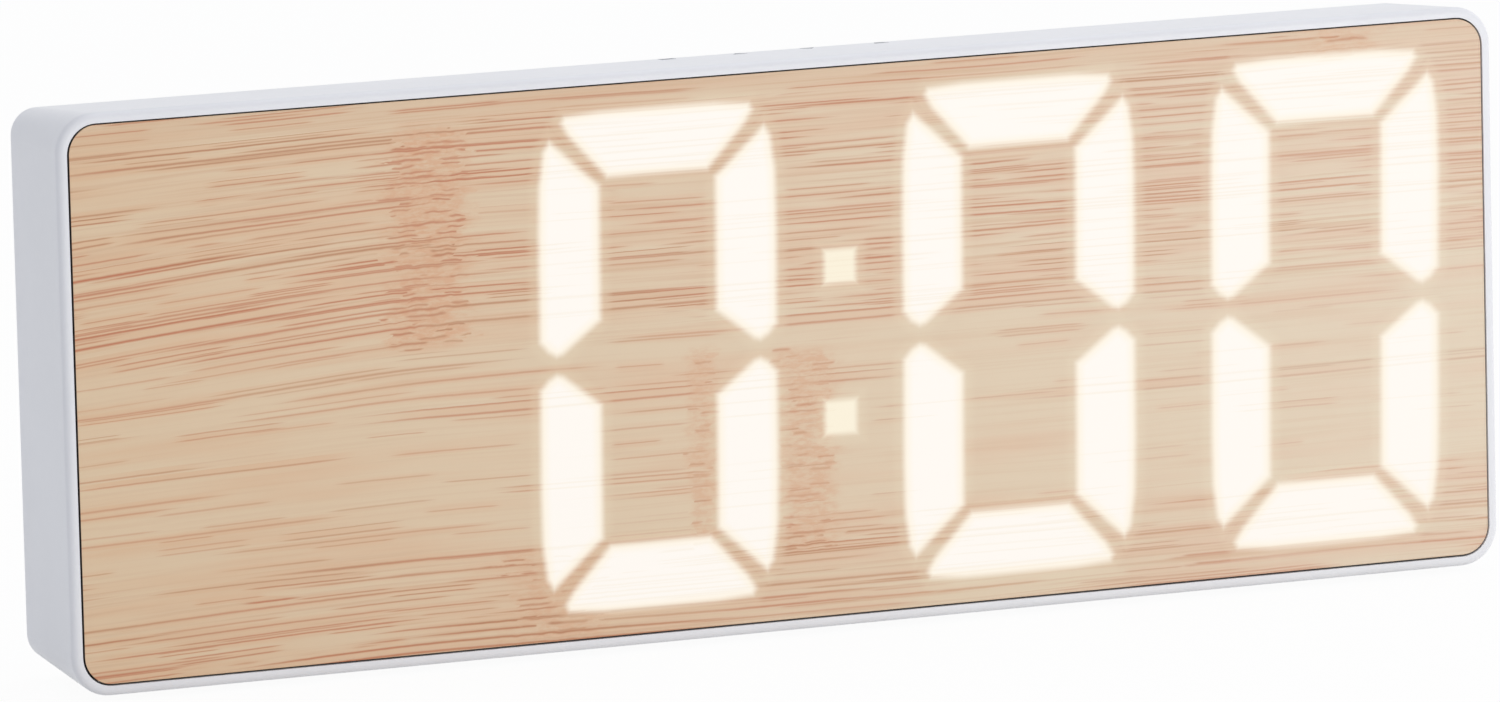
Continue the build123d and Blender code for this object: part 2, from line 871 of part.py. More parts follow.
def make_cover_screws():
    screws = []
    for x, z, side in screw_places():
        face = cover_face - screw_sink
        tip = face - screw_length
        profile = [
            (0, face),
            (screw_head_radius, face),
            (screw_radius, face - screw_head_height),
            (screw_radius, tip + screw_radius - screw_point),
            (screw_point, tip),
            (0, tip),
        ]
        screws.append(turned(profile, x, z) - cross_recess(x, z, face))
    return screws


def make_foot_pads():
    pads = []
    align = (Align.CENTER, Align.CENTER, Align.MIN)
    for x, depth in foot_places():
        pad = Cylinder(foot_radius, underside(depth) + foot_recess, align=align)
        pad = fillet(pad.edges().sort_by(Axis.Z)[0], foot_round)
        pads.append(Pos(x, front_y + depth, 0) * pad)
    return pads


# Everything, by node name
clock_chip, clock_leads = leaded_chip(clock_chip_shares, clock_chip_length, clock_chip_lead_count)
driver_chip, driver_leads = leaded_chip(driver_chip_shares, driver_chip_length, driver_chip_lead_count)
nodes = {
    "case_frame": make_case_frame(),
    "wood_film": make_wood_film(),
    "front_lens": make_front_lens(),
    "panel_tape": make_panel_tape(),
    "diffuser_sheet": make_diffuser_sheet(),
    "reflector_block": make_reflector_block(),
    "display_board": make_display_board(),
    "segment_leds": make_segment_leds(),
    "board_screws": make_board_screws(),
    "clock_chip": clock_chip,
    "clock_chip_leads": clock_leads,
    "driver_chip": driver_chip,
    "driver_chip_leads": driver_leads,
    "timing_crystal": make_timing_crystal(),
    "supply_capacitor": make_supply_capacitor(),
    "capacitor_base": make_capacitor_base(),
    "supply_regulator": make_supply_regulator(),
    "regulator_leads": make_regulator_leads(),
    "alarm_buzzer": make_buzzer(),
    "temperature_sensor": make_temperature_sensor(),
    "chip_resistors": make_chip_resistors(),
    "chip_capacitors": make_chip_capacitors(),
    "socket_shell": make_socket_shell(),
    "socket_tongue": make_socket_tongue(),
    "battery_holder": make_battery_holder(),
    "battery_plus_clip": make_plus_clip(),
    "battery_minus_spring": make_minus_spring(),
    "coin_cell": make_coin_cell(),
    "battery_door": make_battery_door(),
    "switch_bases": make_switch_bases(),
    "switch_plates": make_switch_plates(),
    "rear_cover": make_rear_cover(),
    "cover_screws": make_cover_screws(),
    "foot_pads": make_foot_pads(),
}
for name, (x, z) in zip(("mode", "up", "down", "alarm"), key_places()):
    nodes[name + "_key"] = make_key(x, z)
    nodes[name + "_plunger"] = make_plunger(x, z)

for name, shape in nodes.items():
    solids = shape if isinstance(shape, list) else [shape]
    solids = [solid for item in solids for solid in item.solids()]
    export_step(Compound(children=solids) if len(solids) > 1 else solids[0], f"parts/{name}.step")
print(len(nodes), "nodes written")
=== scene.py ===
# %% [markdown]
# A desk clock whose digits shine through wood.
# The real clock is a shallow white case with a bamboo-look front. LEDs sit in a reflector behind the front
# and shine through it, so the digits have no windows that show when they are dark. The solids come from the
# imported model. This lesson gives them their finishes, and adds what is too thin for a solid: printed signs
# and contacts.

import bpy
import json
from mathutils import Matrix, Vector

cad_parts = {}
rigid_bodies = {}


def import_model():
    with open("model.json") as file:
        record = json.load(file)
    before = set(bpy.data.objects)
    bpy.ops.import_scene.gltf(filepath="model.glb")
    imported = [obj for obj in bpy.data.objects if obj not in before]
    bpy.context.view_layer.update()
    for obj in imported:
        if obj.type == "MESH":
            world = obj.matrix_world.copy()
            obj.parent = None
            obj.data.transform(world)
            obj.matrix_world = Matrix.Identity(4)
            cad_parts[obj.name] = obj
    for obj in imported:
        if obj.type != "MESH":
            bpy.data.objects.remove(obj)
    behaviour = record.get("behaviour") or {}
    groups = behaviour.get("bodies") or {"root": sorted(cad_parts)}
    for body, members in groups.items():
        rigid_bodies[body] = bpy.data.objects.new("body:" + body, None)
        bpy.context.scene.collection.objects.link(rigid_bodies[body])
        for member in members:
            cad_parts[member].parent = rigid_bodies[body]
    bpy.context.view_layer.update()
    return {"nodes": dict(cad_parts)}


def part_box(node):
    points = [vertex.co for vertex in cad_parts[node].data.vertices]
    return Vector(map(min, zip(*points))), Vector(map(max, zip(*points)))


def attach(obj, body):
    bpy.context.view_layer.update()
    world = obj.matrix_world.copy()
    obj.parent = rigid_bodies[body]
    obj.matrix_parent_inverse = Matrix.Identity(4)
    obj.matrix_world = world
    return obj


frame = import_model()
print("solids loaded:", len(frame["nodes"]))

# %% [markdown]
# A clock maker thinks in millimetres and Blender in metres. Sizes below are written in millimetres, and one
# helper reads the place of a solid in the same unit, so that the new pieces can be set out from the solids.

# %% Millimetres and places
import json
import math

import bmesh
import bpy
from mathutils import Matrix, Vector

mm = 0.001


def box_mm(node):
    """The lowest and the highest corner of a solid, in millimetres."""
    low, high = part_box(node)
    return low / mm, high / mm


case_low, case_high = box_mm("case_frame")
case_size = case_high - case_low
print(f"case {case_size.x:.1f} x {case_size.z:.1f} mm and {case_size.y:.1f} mm deep")

# %% [markdown]
# A pattern such as wood grain is a long sum of small terms. In the node editor each plus sign is a Math node,
# which soon hides the idea. This class wraps a socket, so that a sum in Python adds those nodes by itself.
# The reflected forms, such as __rsub__, let a plain number stand first, as in 1 - mask.

# %% Signals
class Signal:
    """A number or colour that changes over a surface: the socket that gives it."""

    def __init__(self, graph, socket):
        self.graph = graph
        self.socket = socket

    def maths(self, operation, *others):
        return self.graph.maths(operation, self, *others)

    def __add__(self, other):
        return self.maths("ADD", other)

    def __sub__(self, other):
        return self.maths("SUBTRACT", other)

    def __rsub__(self, other):
        return self.graph.maths("SUBTRACT", other, self)

    def __mul__(self, other):
        return self.maths("MULTIPLY", other)

    def __truediv__(self, other):
        return self.maths("DIVIDE", other)

    def __rtruediv__(self, other):
        return self.graph.maths("DIVIDE", other, self)

    def __abs__(self):
        return self.maths("ABSOLUTE")

    __radd__ = __add__
    __rmul__ = __mul__


print("signals can be added, subtracted, multiplied and divided")

# %% [markdown]
# A material and the world are both graphs of nodes. Every node comes from one method, which first makes the
# node's settings and then fills its sockets, because a setting such as a Mix node's data type decides which
# sockets are in use. A socket is given a plain value, or a signal that is linked to it.

# %% Graphs of nodes
class Graph:
    """The nodes of a material, or of the world, added one by one."""

    def __init__(self, owner, shader="Principled BSDF", output="Material Output"):
        owner.use_nodes = True
        self.owner = owner
        self.nodes = owner.node_tree.nodes
        self.links = owner.node_tree.links
        self.shader = self.nodes[shader]
        self.surface = self.nodes[output].inputs["Surface"]

    def node(self, kind, settings=None, inputs=None, output=0):
        """Adds a node and gives one of its outputs. An input is a value, a colour or a signal."""
        node = self.nodes.new(kind)
        for name, value in (settings or {}).items():
            setattr(node, name, value)
        for name, value in (inputs or {}).items():
            self.feed(node.inputs[name], value)
        return Signal(self, node.outputs[output])

    def feed(self, socket, value):
        if isinstance(value, Signal):
            self.links.new(value.socket, socket)
        else:
            socket.default_value = value

    def set(self, **values):
        """Sets the shader's own sockets, which are named here with underscores for spaces."""
        for name, value in values.items():
            self.feed(self.shader.inputs[name.replace("_", " ")], value)

    def maths(self, operation, *values):
        return self.node("ShaderNodeMath", {"operation": operation}, dict(enumerate(values)))

    def axis(self, vector, letter):
        """One of a vector's three numbers."""
        return self.node("ShaderNodeSeparateXYZ", None, {0: vector}, letter)

    def vector(self, x, y, z):
        return self.node("ShaderNodeCombineXYZ", None, {"X": x, "Y": y, "Z": z})


print("graphs of nodes ready")

# %% [markdown]
# The skin of a plastic, a metal or a print is mostly noise at the right size, so the rest of the toolbox is
# noise and a few ways to shape it. Patterns read Object coordinates, which need no unwrapping and stay on a
# piece while it moves. They are turned into millimetres, so that a pattern is set out like the clock itself.

# %% Patterns on a piece
class Finish(Graph):
    """The graph of a material, with the patterns that this clock's finishes are made of."""

    def place(self):
        """The place on the piece, in millimetres."""
        metres = self.node("ShaderNodeTexCoord", output="Object")
        scale = (1 / mm, 1 / mm, 1 / mm)
        return self.node("ShaderNodeVectorMath", {"operation": "MULTIPLY"}, {0: metres, 1: scale})

    def noise(self, place, size, detail=2.0, roughness=0.5):
        """Cloudy noise from 0 to 1, whose lumps are about this many millimetres wide."""
        inputs = {"Vector": place, "Scale": 1 / size, "Detail": detail, "Roughness": roughness}
        return self.node("ShaderNodeTexNoise", None, inputs)

    def chance(self, *place):
        """A random number from 0 to 1, which the three numbers of a cell choose."""
        inputs = {"Vector": self.vector(*place)}
        return self.node("ShaderNodeTexWhiteNoise", {"noise_dimensions": "3D"}, inputs)

    def ramp(self, value, low, high, start=0.0, end=1.0, smooth=True):
        """Goes from start to end while the value goes from low to high."""
        settings = {"interpolation_type": "SMOOTHSTEP" if smooth else "LINEAR"}
        inputs = {"Value": value, "From Min": low, "From Max": high, "To Min": start, "To Max": end}
        return self.node("ShaderNodeMapRange", settings, inputs)

    def above(self, value, edge, fade):
        """Goes from 0 to 1 where the value passes an edge. The fade is how much it takes on each side."""
        return self.ramp(value, edge - fade, edge + fade)

    def below(self, value, edge, fade):
        """Goes from 1 to 0 where the value passes an edge."""
        return self.ramp(value, edge + fade, edge - fade)

    def spread(self, noise, start=0.0, end=1.0):
        """Goes from start to end over the middle of the noise, which seldom gets near 0 or 1."""
        return self.ramp(noise, 0.3, 0.7, start, end)

    def blend(self, share, first, second):
        """Mixes two colours."""
        settings = {"data_type": "RGBA"}
        return self.node("ShaderNodeMix", settings, {0: share, 6: first, 7: second}, 2)

    def bump(self, height, depth):
        """Turns a height from 0 to 1 into dents this many millimetres deep."""
        inputs = {"Height": height, "Distance": depth * mm, "Strength": 1.0}
        self.set(Normal=self.node("ShaderNodeBump", None, inputs))


def new_finish(name):
    return Finish(bpy.data.materials.new(name))


print("patterns ready: place, noise, chance, ramp and bump")

# %% [markdown]
# A few helpers work on signals of any graph. Colours are written as on a screen, in six hexadecimal digits,
# because that is how they are read off a sample. Blender wants the light itself, so they are worked out once.

# %% Picking and colours
def lowest(signals):
    first, *others = signals
    for other in others:
        first = first.maths("MINIMUM", other)
    return first


def highest(signals):
    first, *others = signals
    for other in others:
        first = first.maths("MAXIMUM", other)
    return first


def between(share, low, high):
    """A number that goes from low to high while the share goes from 0 to 1."""
    return share * (high - low) + low


def linear(level):
    """The light that a screen gives for a level from 0 to 1, by the usual curve of screens."""
    return level / 12.92 if level <= 0.04045 else ((level + 0.055) / 1.055) ** 2.4


def paint(code):
    """A colour written as six hexadecimal digits, as Blender's linear red, green, blue and alpha."""
    return (*(linear(int(code[i:i + 2], 16) / 255) for i in (0, 2, 4)), 1.0)


def tinted(colour, factor):
    """A colour made lighter or darker, but never brighter than white."""
    return (*(min(1.0, level * factor) for level in colour[:3]), 1.0)


print("mid grey is", round(paint("808080")[0], 3))

# %% [markdown]
# Most solids inside are one stuff all through: a resin, a metal or a plastic. Real ones are never one flat
# colour. Moulding, plating and handling leave faint clouds of tone and gloss, and a skin with fine grain. One
# function makes such a finish from a short list of facts, because the parts differ in those facts only.

# %% One function for plain stuffs
GLOSS_SPREAD = 0.15      # how far the roughness strays, as a share of itself


def stuff(name, colour, roughness, metal=0.0, cloud=4.0, tone=0.06, grain=0.25, grain_depth=0.004,
          stretch=1.0):
    """Clouds of tone and finer grain, as wide as these millimetres. Grain may be stretched along X."""
    finish = new_finish(name)
    place = finish.place()
    x, y, z = (finish.axis(place, letter) for letter in "XYZ")
    clouds = finish.noise(place, cloud, detail=3.0)
    skin = finish.noise(finish.vector(x / stretch, y, z), grain, detail=3.0, roughness=0.6)
    shade = finish.spread(clouds * 0.7 + skin * 0.3)
    dark, light = tinted(paint(colour), 1 - tone), tinted(paint(colour), 1 + tone)
    finish.set(Base_Color=finish.blend(shade, dark, light))
    polished = roughness * (1 - GLOSS_SPREAD)
    worn = roughness * (1 + GLOSS_SPREAD)
    finish.set(Roughness=finish.ramp(skin * 0.6 + clouds * 0.4, 0.25, 0.75, polished, worn), Metallic=metal)
    finish.bump(skin, grain_depth)
    return finish.owner


print("plain stuffs can be made")

# %% [markdown]
# The list goes from the foam tape behind the front to the gold on the contacts. Rolled and drawn metal, such
# as the crystal's can and the coin cell, has its grain stretched into lines. Everything else keeps it round.

# %% The plain stuffs
STUFFS = {
    "black_foam": dict(colour="17171A", roughness=0.9, cloud=2.0, tone=0.2, grain=0.35, grain_depth=0.06),
    "diffuser_film": dict(colour="F1F1EC", roughness=0.6, tone=0.02, grain=0.15),
    "reflector_plastic": dict(colour="F4F4F2", roughness=0.45, tone=0.02, grain=0.3),
    "led_resin": dict(colour="E9D36A", roughness=0.3, cloud=0.8, tone=0.08, grain=0.1),
    "chip_resin": dict(colour="1D1D1F", roughness=0.6, cloud=3.0, tone=0.12, grain=0.12, grain_depth=0.01),
    "sensor_resin": dict(colour="20201F", roughness=0.25, cloud=1.0, tone=0.15, grain=0.2),
    "ceramic_body": dict(colour="8C7A63", roughness=0.5, cloud=0.9, tone=0.2, grain=0.15),
    "black_plastic": dict(colour="1A1A1C", roughness=0.45, cloud=3.0, tone=0.15, grain=0.15),
    "plunger_plastic": dict(colour="232326", roughness=0.4, cloud=1.0, tone=0.1, grain=0.12),
    "grey_ink": dict(colour="6E7277", roughness=0.6, cloud=1.0, grain=0.08),
    "pale_ink": dict(colour="9A9CA1", roughness=0.6, cloud=1.0, grain=0.08),
}
METALS = {
    "plated_steel": dict(colour="C9CACC", roughness=0.3, cloud=1.5, tone=0.1, grain=0.12),
    "tinned_metal": dict(colour="C6C8CA", roughness=0.38, cloud=0.7, tone=0.08, grain=0.1),
    "can_metal": dict(colour="D0D1D3", roughness=0.25, cloud=3.0, tone=0.05, grain=0.1, stretch=8.0),
    "capacitor_can": dict(colour="D6D8DA", roughness=0.32, cloud=2.0, grain=0.15),
    "socket_steel": dict(colour="B9BBBE", roughness=0.28, cloud=1.5, grain=0.08),
    "cell_steel": dict(colour="CFCFCD", roughness=0.24, tone=0.05, grain=0.1, stretch=10.0),
    "contact_gold": dict(colour="D9B45A", roughness=0.25, cloud=0.8, tone=0.08, grain=0.1),
}
finishes = {name: stuff(name, **facts) for name, facts in STUFFS.items()}
for name, facts in METALS.items():
    finishes[name] = stuff(name, metal=1.0, **facts)
print("plain finishes:", len(finishes))

# %% [markdown]
# The case, the rear cover and the keys are moulded in white ABS. The steel mould is polished a little for the
# case, and eroded by sparks for the cover, which gives that one a fine pebbled skin. The pebbles could be
# modelled, but they are a fifth of a millimetre wide, so a bump that follows noise of that size is the right
# tool. Sub-surface light is left out: such a wall is opaque at this scale, and it would only add grain to the
# picture.

# %% White plastics
FLOW_WIDTH = 14.0        # the faint marks that the plastic leaves as it fills the mould
FLOW_SHADE = 0.975
PIT_WIDTH = 3.5          # the wider pits between the pebbles, in pebbles
GLOSS_STRAY = 0.05
ABS_INDEX = 1.53         # how strongly ABS bends light
WHITE = "E9EAEC"


def moulded(name, colour, roughness, pebble, pebble_depth, gloss):
    """A plastic whose skin has pebbles this many millimetres wide."""
    finish = new_finish(name)
    place = finish.place()
    flow = finish.noise(place, FLOW_WIDTH)
    skin = finish.noise(place, pebble, roughness=0.55)
    pits = finish.noise(place, pebble * PIT_WIDTH, detail=1.0)
    shade = finish.spread(flow * 0.75 + skin * 0.25)
    finish.set(Base_Color=finish.blend(shade, tinted(paint(colour), FLOW_SHADE), paint(colour)))
    polished = roughness - GLOSS_STRAY
    worn = roughness + GLOSS_STRAY
    finish.set(Roughness=finish.spread(pits * 0.5 + skin * 0.5, polished, worn))
    finish.set(IOR=ABS_INDEX, Specular_IOR_Level=gloss)
    finish.bump(skin * 0.6 + pits * 0.4, pebble_depth)
    return finish.owner


PLASTICS = {
    "white_plastic": dict(colour=WHITE, roughness=0.42, pebble=0.35, pebble_depth=0.003, gloss=0.5),
    "white_pebbled": dict(colour=WHITE, roughness=0.55, pebble=0.22, pebble_depth=0.012, gloss=0.45),
    "key_plastic": dict(colour="F4F4F5", roughness=0.35, pebble=0.4, pebble_depth=0.003, gloss=0.5),
    "foot_silicone": dict(colour="D8D9DA", roughness=0.7, pebble=0.5, pebble_depth=0.01, gloss=0.35),
}
for name, facts in PLASTICS.items():
    finishes[name] = moulded(name, **facts)
print("moulded finishes:", len(PLASTICS))

# %% [markdown]
# The film is glued to a sheet of acrylic, given a near-black smoked colour here, whose dark edge is the
# painted shade of the hairline gap round the front. Glass would be nearer to the real sheet, but the film
# hides all of it except that edge, which lets so little light out that a dark plastic with a slight haze
# looks the same.

# %% Smoked acrylic
HAZE_WIDTH = 2.5
acrylic = new_finish("smoked_acrylic")
haze = acrylic.noise(acrylic.place(), HAZE_WIDTH)
# Near-black base colour: painted shade for the hairline gap round the front.
acrylic.set(Base_Color=acrylic.blend(haze, paint("0B0907"), paint("15110E")))
acrylic.set(Roughness=acrylic.spread(haze, 0.25, 0.4), Specular_IOR_Level=0.3)
finishes["smoked_acrylic"] = acrylic.owner
print("acrylic nodes:", len(acrylic.nodes))

# %% [markdown]
# The board is glass cloth under green lacquer: its weave shows as a faint check, and copper tracks as lighter
# lines that stand up a little. The tracks run level, and noise leaves some of them out.

# %% Green board
THREAD = 0.6
TRACK_PITCH = 1.9
TRACK_HALF_WIDTH = 0.14  # as a share of the pitch
TRACK_DEPTH = 0.03
TRACK_PATCH = 9.0        # how wide the stretches with and without tracks are
TRACK_SHOWS = 0.6
WEAVE_SHOWS = 0.25
LACQUER_CLOUD = 3.0
lacquered = new_finish("green_board")
on_board = lacquered.place()
weave = lacquered.node("ShaderNodeTexChecker", None, {"Vector": on_board, "Scale": 1 / THREAD}, 1)
lane = abs((lacquered.axis(on_board, "Z") / TRACK_PITCH).maths("FRACT") - 0.5)
in_use = lacquered.below(lacquered.noise(on_board, TRACK_PATCH), 0.51, 0.01)
track = lacquered.below(lane, TRACK_HALF_WIDTH, 0.02) * in_use
lacquer = lacquered.blend(weave * WEAVE_SHOWS, paint("0E5A33"), paint("16713F"))
copper = lacquered.blend(track * TRACK_SHOWS, lacquer, paint("3C9A5C"))
lacquered.set(Base_Color=copper, Coat_Weight=0.4)
lacquered.set(Roughness=lacquered.spread(lacquered.noise(on_board, LACQUER_CLOUD), 0.28, 0.4))
lacquered.bump(track, TRACK_DEPTH)
finishes["green_board"] = lacquered.owner
print("board nodes:", len(lacquered.nodes))

# %% [markdown]
# Each digit has seven segments, and behind each of them the reflector has a window. Light spreads a little on
# its way through the acrylic and the film, so that a segment looks rounder at its tips than its window is
# cut. Only one upright and one flat segment need an outline, because mirrored left to right and top to bottom
# they give all six outer segments of a nought. The outlines are measured from a digit's middle, and the
# digits are set out from the board, as the windows are.

# %% Digits on the board
left_margin = 13.38      # from the board's edge to the first digit
right_margin = 3.47
digit_gap = 8.8
colon_gap = 14.15
UPRIGHT = [
    (13.15, 2.5),
    (13.2, 13.0),
    (13.08, 18.5),
    (12.58, 22.05),
    (11.86, 23.07),
    (6.4, 18.2),
    (6.4, 4.35),
    (10.6, 1.15),
    (11.3, 0.95),
    (12.2, 1.45),
]
FLAT = [
    (-10.0, 18.97),
    (5.55, 18.97),
    (9.69, 23.37),
    (10.61, 24.8),
    (10.2, 25.52),
    (6.4, 25.8),
    (-10.0, 25.84),
]

board_low, board_high = box_mm("display_board")
board_width = board_high.x - board_low.x
digit_width = (board_width - left_margin - right_margin - colon_gap - 2 * digit_gap) / 4
digit_pitch = digit_width + digit_gap
colon_x = board_low.x + left_margin + digit_pitch + digit_width + colon_gap / 2
digit_step = (digit_width + colon_gap) / 2
lit_middles = (colon_x - digit_step, colon_x + digit_step, colon_x + digit_step + digit_pitch)
print("lit digits at", [round(x, 2) for x in lit_middles], "colon at", round(colon_x, 2))

# %% [markdown]
# The shader has to know how deep inside a lit shape each place lies. A straight side gives a depth that grows
# steadily inwards, so for a convex shape the smallest of its sides' depths is the answer, and it is negative
# outside. The mirrored segments cost no nodes: the distance from the middle of the nearest lit digit is taken
# without its sign.

# %% How deep in the light
lean = 0.016             # sideways for each millimetre up
colon_dot = 3.6
colon_rise = 7.85


def depth_inside(outline, x, z):
    """How far a place lies inside a convex outline, drawn anticlockwise, and negative outside it."""
    depths = []
    for (x1, z1), (x2, z2) in zip(outline, outline[1:] + outline[:1]):
        along = Vector((x2 - x1, z2 - z1)).normalized()
        depths.append(z * along.x - x * along.y + (x1 * along.y - z1 * along.x))
    return lowest(depths)


def light_depths(x, rise):
    """How far a place on the film lies inside a lit segment and inside a dot of the colon, in mm."""
    slanted = x - rise * lean
    across = lowest([abs(slanted - middle) for middle in lit_middles])
    up = abs(rise)
    segment = highest([depth_inside(UPRIGHT, across, up), depth_inside(FLAT, across, up)])
    dot = lowest([colon_dot / 2 - abs(slanted - colon_x), colon_dot / 2 - abs(up - colon_rise)])
    return segment, dot


print("sides to measure from:", len(UPRIGHT) + len(FLAT))

# %% [markdown]
# The front is a printed film that shows strips of bamboo. What the eye reads as bamboo is a pale ground,
# broad soft bands of tone, and the dark ends of fibre bundles. An image would be quick but would blur close
# up, so the film is worked out step by step in the next cells. Nearly all its patterns are drawn out along
# the strips, which noise does when the place is squeezed in that direction first. Each is cut from the noise
# at a layer of its own, so that no two of them line up.

# %% The film and its streaks
film = new_finish("wood_print")
film_low, film_high = box_mm("wood_film")
panel_middle = (film_low.z + film_high.z) / 2
on_film = film.place()
film_x = film.axis(on_film, "X")
film_z = film.axis(on_film, "Z")
rise = film_z - panel_middle


def streaks(height, layer, stretch, size, detail=2.0, roughness=0.5):
    """Noise on the film that is drawn out along X."""
    return film.noise(film.vector(film_x / stretch, layer, height), size, detail, roughness)


print(f"front panel {film_high.x - film_low.x:.2f} x {film_high.z - film_low.z:.2f} mm")

# %% [markdown]
# Where the bamboo's stalk had a knot, the strip has a soft-edged band across it, mottled and full of short
# crumbs of fibre. A few knots break up the strips, and the big one is what the eye finds first, so each has
# its own row of numbers. Noise pushes their sides in and out.

# %% Knots
KNOT_WOBBLE = 2.2        # how far the sides stray, in half widths
KNOT_OUTER = 1.3         # where a side starts and where it is full, in half widths
KNOT_INNER = 0.4
KNOT_FADE = 0.8
KNOTS = [
    # middle across, half width, lowest, highest, how strong
    (-40.2, 4.3, 3.2, 25.4, 1.0),
    (-10.6, 1.7, -20.5, 0.5, 0.6),
    (1.2, 3.2, -21.5, -0.5, 0.65),
    (-26.5, 5.5, -28.5, -19.0, 0.6),
    (62.5, 4.5, 25.5, 28.5, 0.5),
]

wobble = streaks(film_z, layer=0.0, stretch=3.0, size=1.3, detail=3.0, roughness=0.6)
masks = []
for middle, half, low, high, strength in KNOTS:
    off_middle = abs(film_x - middle + (wobble - 0.5) * half * KNOT_WOBBLE)
    band = film.ramp(off_middle, half * KNOT_OUTER, half * KNOT_INNER, 0.0, strength)
    masks.append(band * film.above(rise, low, KNOT_FADE) * film.below(rise, high, KNOT_FADE))
knots = highest(masks)
print(len(KNOTS), "knots")

# %% [markdown]
# Fibres are never quite straight. They sway along their whole length, ripple in a knot, and left of the big
# knot they droop towards the edge, most of all a little above the middle. Instead of bending each pattern,
# the height that the patterns read is bent once.

# %% Bending the grain
DROOP_FROM = -40.0       # left of here
DROOP_EASE = 12.0        # over about this far the fibres turn down
DROOP_SLOPES = (0.04, 0.095)  # far from the steepest height, and at it
STEEPEST_RISE = 6.0
STEEP_REACH = 18.0
SWAY = 1.0
RIPPLES = (0.06, 0.46)   # away from knots and in them

sway = streaks(film_z, layer=4.0, stretch=9.0, size=5.0, detail=1.0)
ripple = streaks(film_z, layer=8.0, stretch=1.25, size=1.3, detail=1.0)
leftward = (DROOP_FROM - film_x).maths("MAXIMUM", 0.0)
slope = film.ramp(abs(rise - STEEPEST_RISE), STEEP_REACH, 0.0, *DROOP_SLOPES)
droop = leftward * leftward / (leftward + DROOP_EASE) * slope
bent = rise + droop + (sway - 0.5) * SWAY + (ripple - 0.5) * between(knots, *RIPPLES)
print("the grain droops from", DROOP_FROM, "mm")

# %% [markdown]
# Three strips lie one above another, and the middle one has few dark fibres. So does a narrow band along the
# top. Within a strip they also come thicker in some patches than in others, and in a knot they make room for
# crumbs. A density gathers all that, and the dashes of the next cells follow it.

# %% Strips and patches
STRIP_EDGE_HIGH = 3.4    # above the panel's middle
STRIP_EDGE_LOW = -18.0
CLEAR_ABOVE = 26.4
MIDDLE_THINS = 0.8       # the share of dashes that the middle strip, the top and the knots lose
CLEAR_THINS = 0.3
KNOT_THINS = 0.55
PATCHES_KEEP = (0.75, 1.15)

middle_strip = film.above(rise, STRIP_EDGE_LOW, 1.0) * film.below(rise, STRIP_EDGE_HIGH, 2.0)
clear = film.above(rise, CLEAR_ABOVE, 1.0)
patches = streaks(film_z, layer=2.0, stretch=7.0, size=4.0)
patchy = film.ramp(patches, 0.35, 0.6, *PATCHES_KEEP)
density = (1 - middle_strip * MIDDLE_THINS - clear * CLEAR_THINS) * patchy * (1 - knots * KNOT_THINS)
print(f"middle strip {STRIP_EDGE_HIGH - STRIP_EDGE_LOW:.1f} mm high")

# %% [markdown]
# The dark fibres are thin dashes along the strip, single or in close pairs. They could be curves, but there
# are thousands of them and they lie in the print. So the film is divided into rows and each row into cells,
# every cell gets one dash, and random numbers per cell give its length, width, darkness, and whether it is
# there. The rows are shifted by chance as well, or the cells would show as columns.

# %% Fibre dashes
ROW_SHIFT = 7.0          # the most that a row is shifted, in cells
STRAY = 0.3              # how far a dash strays from its row's middle, in rows
HALF_LENGTHS = (0.2, 0.5)
WIDTHS = (0.75, 1.25)
PAIR_CHANCE = 0.81       # cells with a higher tone than this have a pair
PAIR_GAPS = (0.8, 1.7)
PAIR_SPACING = 1.6       # in widths
STAIN_REACH = 5.0        # in widths
LEAST_TAPER = 0.4        # how thick a dash still is at its ends
LEAST_STRENGTH = 0.6
DRAWS = (0.3, 1.7, 2.9)  # added to the seed, for three random numbers that differ


def dashes(finish, x, z, seed, cell, pitch, width, amount):
    """Dashes and the stains round them, each from 0 to 1. The amount is the share of cells with a dash."""
    row = z / pitch + seed
    row_number = row.maths("FLOOR")
    shift = finish.chance(row_number, seed, 0.0)
    run = x / cell + shift * ROW_SHIFT
    cell_number = run.maths("FLOOR")
    luck, size, tone = (finish.chance(row_number, cell_number, seed + draw) for draw in DRAWS)
    end = abs(run - cell_number - 0.5) / between(size, *HALF_LENGTHS)
    taper = finish.ramp(1 - end * end, 0.0, 0.6)
    off_axis = abs((row - row_number - 0.5 - (shift - 0.5) * STRAY - (tone - 0.5) * STRAY) * pitch)
    paired = finish.above(tone, PAIR_CHANCE, 0.01) * between(size, *PAIR_GAPS)
    off_line = abs(off_axis - paired * (width * PAIR_SPACING))
    thick = between(size, *WIDTHS) * width * between(taper, LEAST_TAPER, 1.0)
    line = finish.ramp(off_line / thick, 1.0, 0.0)
    there = finish.ramp(amount - luck, 0.0, 0.08) * taper * between(tone, LEAST_STRENGTH, 1.0)
    stain = finish.ramp(off_axis / width, STAIN_REACH, 0.5)
    return line * there, stain * there


print("a dash is", 2 * HALF_LENGTHS[0], "to", 2 * HALF_LENGTHS[1], "cells long")

# %% [markdown]
# One layer of dashes looks like a brick wall. Five layers with cells of different sizes overlap and hide
# their grids: long, middling and short dashes everywhere, a few in the middle strip, and crumbs in the knots.
# Where dashes cross, the darker one shows.

# %% Layers of dashes
LAYERS = [
    # seed, cell, pitch, width, where, share of cells, how dark the lines, how dark the stains
    (0.0, 78.0, 1.6, 0.18, density, 0.85, 1.0, 1.0),
    (11.0, 42.0, 0.85, 0.15, density, 0.85, 0.9, 1.0),
    (23.0, 19.0, 0.8, 0.13, density, 0.55, 0.75, 0.8),
    (51.0, 15.0, 1.3, 0.13, middle_strip, 0.3, 0.85, 0.6),
    (37.0, 5.5, 0.55, 0.19, knots, 0.9, 0.9, 1.0),
]

